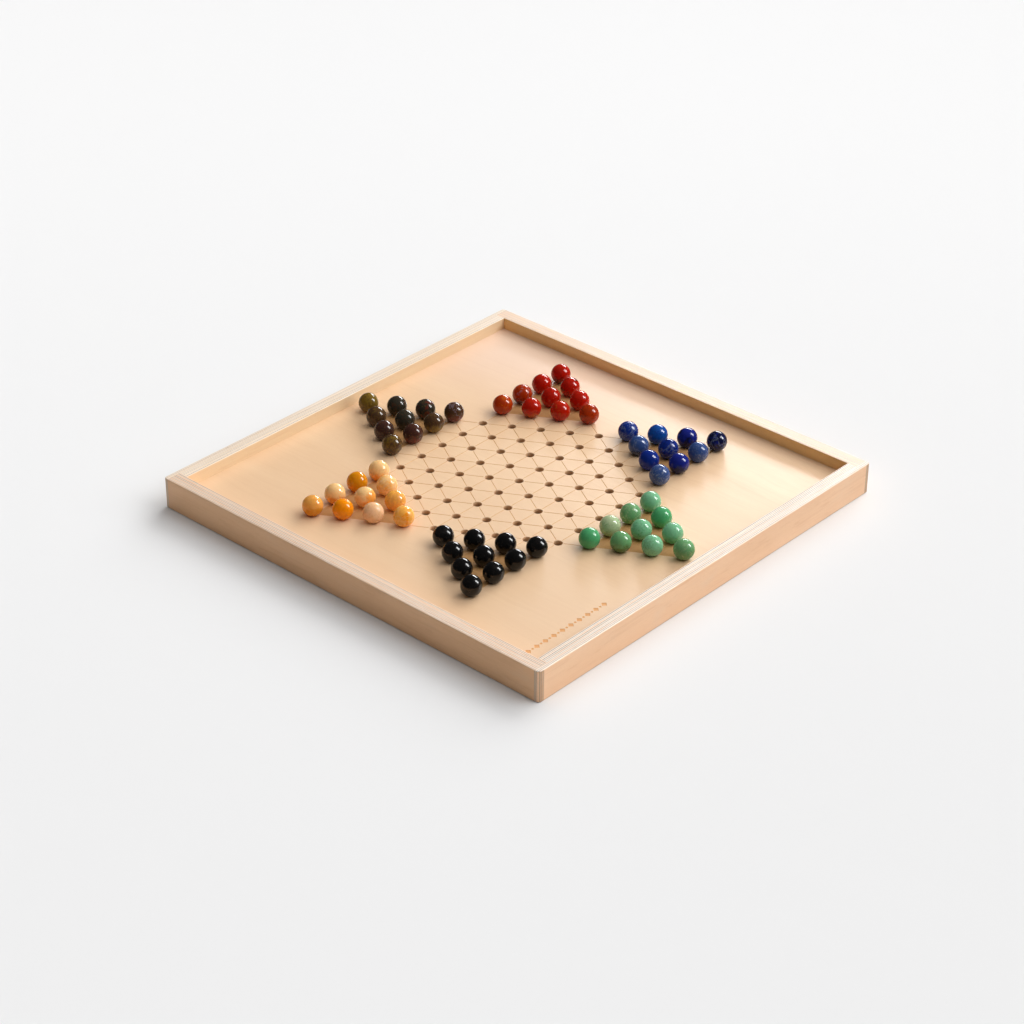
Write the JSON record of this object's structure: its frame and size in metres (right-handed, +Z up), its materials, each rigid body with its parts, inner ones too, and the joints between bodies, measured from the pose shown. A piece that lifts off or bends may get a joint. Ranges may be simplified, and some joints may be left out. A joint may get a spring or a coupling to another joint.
{
  "type": "chinese checkers board",
  "caption": "Square plywood tray with a star of drilled sockets in a sunken panel, and polished stone marbles lying in the six points.",
  "frame": {"origin": "centre of the tray's underside, in the plane it stands on", "axes": "+Z up out of the playing face; X along the front rail and along one direction of the socket rows; -Y towards the front rail; two points of the star lie on the Y axis"},
  "size_m": [0.392, 0.392, 0.0323],
  "materials": {
    "panel_birch": "satin",
    "rail_birch": "satin",
    "olive_stone": "polished",
    "red_stone": "polished",
    "blue_stone": "polished",
    "green_stone": "polished",
    "black_stone": "polished",
    "yellow_stone": "polished"
  },
  "bodies": {
    "root": {"front_rail": "rail_birch", "left_rail": "rail_birch", "rear_rail": "rail_birch", "right_rail": "rail_birch", "star_panel": "panel_birch"},
    "black_marble_1": {"black_marble_1": "black_stone"},
    "black_marble_2": {"black_marble_2": "black_stone"},
    "black_marble_3": {"black_marble_3": "black_stone"},
    "black_marble_4": {"black_marble_4": "black_stone"},
    "black_marble_5": {"black_marble_5": "black_stone"},
    "black_marble_6": {"black_marble_6": "black_stone"},
    "black_marble_7": {"black_marble_7": "black_stone"},
    "black_marble_pair": {"black_marble_pair": "black_stone"},
    "black_marble_tip": {"black_marble_tip": "black_stone"},
    "blue_marble_1": {"blue_marble_1": "blue_stone"},
    "blue_marble_2": {"blue_marble_2": "blue_stone"},
    "blue_marble_3": {"blue_marble_3": "blue_stone"},
    "blue_marble_4": {"blue_marble_4": "blue_stone"},
    "blue_marble_5": {"blue_marble_5": "blue_stone"},
    "blue_marble_6": {"blue_marble_6": "blue_stone"},
    "blue_marble_7": {"blue_marble_7": "blue_stone"},
    "blue_marble_pair": {"blue_marble_pair": "blue_stone"},
    "blue_marble_tip": {"blue_marble_tip": "blue_stone"},
    "green_marble_1": {"green_marble_1": "green_stone"},
    "green_marble_2": {"green_marble_2": "green_stone"},
    "green_marble_3": {"green_marble_3": "green_stone"},
    "green_marble_4": {"green_marble_4": "green_stone"},
    "green_marble_5": {"green_marble_5": "green_stone"},
    "green_marble_6": {"green_marble_6": "green_stone"},
    "green_marble_7": {"green_marble_7": "green_stone"},
    "green_marble_pair": {"green_marble_pair": "green_stone"},
    "green_marble_tip": {"green_marble_tip": "green_stone"},
    "olive_marble_1": {"olive_marble_1": "olive_stone"},
    "olive_marble_2": {"olive_marble_2": "olive_stone"},
    "olive_marble_3": {"olive_marble_3": "olive_stone"},
    "olive_marble_4": {"olive_marble_4": "olive_stone"},
    "olive_marble_5": {"olive_marble_5": "olive_stone"},
    "olive_marble_6": {"olive_marble_6": "olive_stone"},
    "olive_marble_7": {"olive_marble_7": "olive_stone"},
    "olive_marble_pair": {"olive_marble_pair": "olive_stone"},
    "olive_marble_tip": {"olive_marble_tip": "olive_stone"},
    "red_marble_1": {"red_marble_1": "red_stone"},
    "red_marble_2": {"red_marble_2": "red_stone"},
    "red_marble_3": {"red_marble_3": "red_stone"},
    "red_marble_4": {"red_marble_4": "red_stone"},
    "red_marble_5": {"red_marble_5": "red_stone"},
    "red_marble_6": {"red_marble_6": "red_stone"},
    "red_marble_7": {"red_marble_7": "red_stone"},
    "red_marble_pair": {"red_marble_pair": "red_stone"},
    "red_marble_tip": {"red_marble_tip": "red_stone"},
    "yellow_marble_1": {"yellow_marble_1": "yellow_stone"},
    "yellow_marble_2": {"yellow_marble_2": "yellow_stone"},
    "yellow_marble_3": {"yellow_marble_3": "yellow_stone"},
    "yellow_marble_4": {"yellow_marble_4": "yellow_stone"},
    "yellow_marble_5": {"yellow_marble_5": "yellow_stone"},
    "yellow_marble_6": {"yellow_marble_6": "yellow_stone"},
    "yellow_marble_7": {"yellow_marble_7": "yellow_stone"},
    "yellow_marble_pair": {"yellow_marble_pair": "yellow_stone"},
    "yellow_marble_tip": {"yellow_marble_tip": "yellow_stone"}
  },
  "joints": [
    {"name": "black_marble_1_lift", "type": "slide", "parent": "root", "child": "black_marble_1", "axis": [0, 0, 1], "range_m": [0, 0.04]},
    {"name": "black_marble_2_lift", "type": "slide", "parent": "root", "child": "black_marble_2", "axis": [0, 0, 1], "range_m": [0, 0.04]},
    {"name": "black_marble_3_lift", "type": "slide", "parent": "root", "child": "black_marble_3", "axis": [0, 0, 1], "range_m": [0, 0.04]},
    {"name": "black_marble_4_lift", "type": "slide", "parent": "root", "child": "black_marble_4", "axis": [0, 0, 1], "range_m": [0, 0.04]},
    {"name": "black_marble_5_lift", "type": "slide", "parent": "root", "child": "black_marble_5", "axis": [0, 0, 1], "range_m": [0, 0.04]},
    {"name": "black_marble_6_lift", "type": "slide", "parent": "root", "child": "black_marble_6", "axis": [0, 0, 1], "range_m": [0, 0.04]},
    {"name": "black_marble_7_lift", "type": "slide", "parent": "root", "child": "black_marble_7", "axis": [0, 0, 1], "range_m": [0, 0.04]},
    {"name": "black_marble_pair_lift", "type": "slide", "parent": "root", "child": "black_marble_pair", "axis": [0, 0, 1], "range_m": [0, 0.04]},
    {"name": "black_marble_tip_lift", "type": "slide", "parent": "root", "child": "black_marble_tip", "axis": [0, 0, 1], "range_m": [0, 0.04]},
    {"name": "blue_marble_1_lift", "type": "slide", "parent": "root", "child": "blue_marble_1", "axis": [0, 0, 1], "range_m": [0, 0.04]},
    {"name": "blue_marble_2_lift", "type": "slide", "parent": "root", "child": "blue_marble_2", "axis": [0, 0, 1], "range_m": [0, 0.04]},
    {"name": "blue_marble_3_lift", "type": "slide", "parent": "root", "child": "blue_marble_3", "axis": [0, 0, 1], "range_m": [0, 0.04]},
    {"name": "blue_marble_4_lift", "type": "slide", "parent": "root", "child": "blue_marble_4", "axis": [0, 0, 1], "range_m": [0, 0.04]},
    {"name": "blue_marble_5_lift", "type": "slide", "parent": "root", "child": "blue_marble_5", "axis": [0, 0, 1], "range_m": [0, 0.04]},
    {"name": "blue_marble_6_lift", "type": "slide", "parent": "root", "child": "blue_marble_6", "axis": [0, 0, 1], "range_m": [0, 0.04]},
    {"name": "blue_marble_7_lift", "type": "slide", "parent": "root", "child": "blue_marble_7", "axis": [0, 0, 1], "range_m": [0, 0.04]},
    {"name": "blue_marble_pair_lift", "type": "slide", "parent": "root", "child": "blue_marble_pair", "axis": [0, 0, 1], "range_m": [0, 0.04]},
    {"name": "blue_marble_tip_lift", "type": "slide", "parent": "root", "child": "blue_marble_tip", "axis": [0, 0, 1], "range_m": [0, 0.04]},
    {"name": "green_marble_1_lift", "type": "slide", "parent": "root", "child": "green_marble_1", "axis": [0, 0, 1], "range_m": [0, 0.04]},
    {"name": "green_marble_2_lift", "type": "slide", "parent": "root", "child": "green_marble_2", "axis": [0, 0, 1], "range_m": [0, 0.04]},
    {"name": "green_marble_3_lift", "type": "slide", "parent": "root", "child": "green_marble_3", "axis": [0, 0, 1], "range_m": [0, 0.04]},
    {"name": "green_marble_4_lift", "type": "slide", "parent": "root", "child": "green_marble_4", "axis": [0, 0, 1], "range_m": [0, 0.04]},
    {"name": "green_marble_5_lift", "type": "slide", "parent": "root", "child": "green_marble_5", "axis": [0, 0, 1], "range_m": [0, 0.04]},
    {"name": "green_marble_6_lift", "type": "slide", "parent": "root", "child": "green_marble_6", "axis": [0, 0, 1], "range_m": [0, 0.04]},
    {"name": "green_marble_7_lift", "type": "slide", "parent": "root", "child": "green_marble_7", "axis": [0, 0, 1], "range_m": [0, 0.04]},
    {"name": "green_marble_pair_lift", "type": "slide", "parent": "root", "child": "green_marble_pair", "axis": [0, 0, 1], "range_m": [0, 0.04]},
    {"name": "green_marble_tip_lift", "type": "slide", "parent": "root", "child": "green_marble_tip", "axis": [0, 0, 1], "range_m": [0, 0.04]},
    {"name": "olive_marble_1_lift", "type": "slide", "parent": "root", "child": "olive_marble_1", "axis": [0, 0, 1], "range_m": [0, 0.04]},
    {"name": "olive_marble_2_lift", "type": "slide", "parent": "root", "child": "olive_marble_2", "axis": [0, 0, 1], "range_m": [0, 0.04]},
    {"name": "olive_marble_3_lift", "type": "slide", "parent": "root", "child": "olive_marble_3", "axis": [0, 0, 1], "range_m": [0, 0.04]},
    {"name": "olive_marble_4_lift", "type": "slide", "parent": "root", "child": "olive_marble_4", "axis": [0, 0, 1], "range_m": [0, 0.04]},
    {"name": "olive_marble_5_lift", "type": "slide", "parent": "root", "child": "olive_marble_5", "axis": [0, 0, 1], "range_m": [0, 0.04]},
    {"name": "olive_marble_6_lift", "type": "slide", "parent": "root", "child": "olive_marble_6", "axis": [0, 0, 1], "range_m": [0, 0.04]},
    {"name": "olive_marble_7_lift", "type": "slide", "parent": "root", "child": "olive_marble_7", "axis": [0, 0, 1], "range_m": [0, 0.04]},
    {"name": "olive_marble_pair_lift", "type": "slide", "parent": "root", "child": "olive_marble_pair", "axis": [0, 0, 1], "range_m": [0, 0.04]},
    {"name": "olive_marble_tip_lift", "type": "slide", "parent": "root", "child": "olive_marble_tip", "axis": [0, 0, 1], "range_m": [0, 0.04]},
    {"name": "red_marble_1_lift", "type": "slide", "parent": "root", "child": "red_marble_1", "axis": [0, 0, 1], "range_m": [0, 0.04]},
    {"name": "red_marble_2_lift", "type": "slide", "parent": "root", "child": "red_marble_2", "axis": [0, 0, 1], "range_m": [0, 0.04]},
    {"name": "red_marble_3_lift", "type": "slide", "parent": "root", "child": "red_marble_3", "axis": [0, 0, 1], "range_m": [0, 0.04]},
    {"name": "red_marble_4_lift", "type": "slide", "parent": "root", "child": "red_marble_4", "axis": [0, 0, 1], "range_m": [0, 0.04]},
    {"name": "red_marble_5_lift", "type": "slide", "parent": "root", "child": "red_marble_5", "axis": [0, 0, 1], "range_m": [0, 0.04]},
    {"name": "red_marble_6_lift", "type": "slide", "parent": "root", "child": "red_marble_6", "axis": [0, 0, 1], "range_m": [0, 0.04]},
    {"name": "red_marble_7_lift", "type": "slide", "parent": "root", "child": "red_marble_7", "axis": [0, 0, 1], "range_m": [0, 0.04]},
    {"name": "red_marble_pair_lift", "type": "slide", "parent": "root", "child": "red_marble_pair", "axis": [0, 0, 1], "range_m": [0, 0.04]},
    {"name": "red_marble_tip_lift", "type": "slide", "parent": "root", "child": "red_marble_tip", "axis": [0, 0, 1], "range_m": [0, 0.04]},
    {"name": "yellow_marble_1_lift", "type": "slide", "parent": "root", "child": "yellow_marble_1", "axis": [0, 0, 1], "range_m": [0, 0.04]},
    {"name": "yellow_marble_2_lift", "type": "slide", "parent": "root", "child": "yellow_marble_2", "axis": [0, 0, 1], "range_m": [0, 0.04]},
    {"name": "yellow_marble_3_lift", "type": "slide", "parent": "root", "child": "yellow_marble_3", "axis": [0, 0, 1], "range_m": [0, 0.04]},
    {"name": "yellow_marble_4_lift", "type": "slide", "parent": "root", "child": "yellow_marble_4", "axis": [0, 0, 1], "range_m": [0, 0.04]},
    {"name": "yellow_marble_5_lift", "type": "slide", "parent": "root", "child": "yellow_marble_5", "axis": [0, 0, 1], "range_m": [0, 0.04]},
    {"name": "yellow_marble_6_lift", "type": "slide", "parent": "root", "child": "yellow_marble_6", "axis": [0, 0, 1], "range_m": [0, 0.04]},
    {"name": "yellow_marble_7_lift", "type": "slide", "parent": "root", "child": "yellow_marble_7", "axis": [0, 0, 1], "range_m": [0, 0.04]},
    {"name": "yellow_marble_pair_lift", "type": "slide", "parent": "root", "child": "yellow_marble_pair", "axis": [0, 0, 1], "range_m": [0, 0.04]},
    {"name": "yellow_marble_tip_lift", "type": "slide", "parent": "root", "child": "yellow_marble_tip", "axis": [0, 0, 1], "range_m": [0, 0.04]}
  ]
}
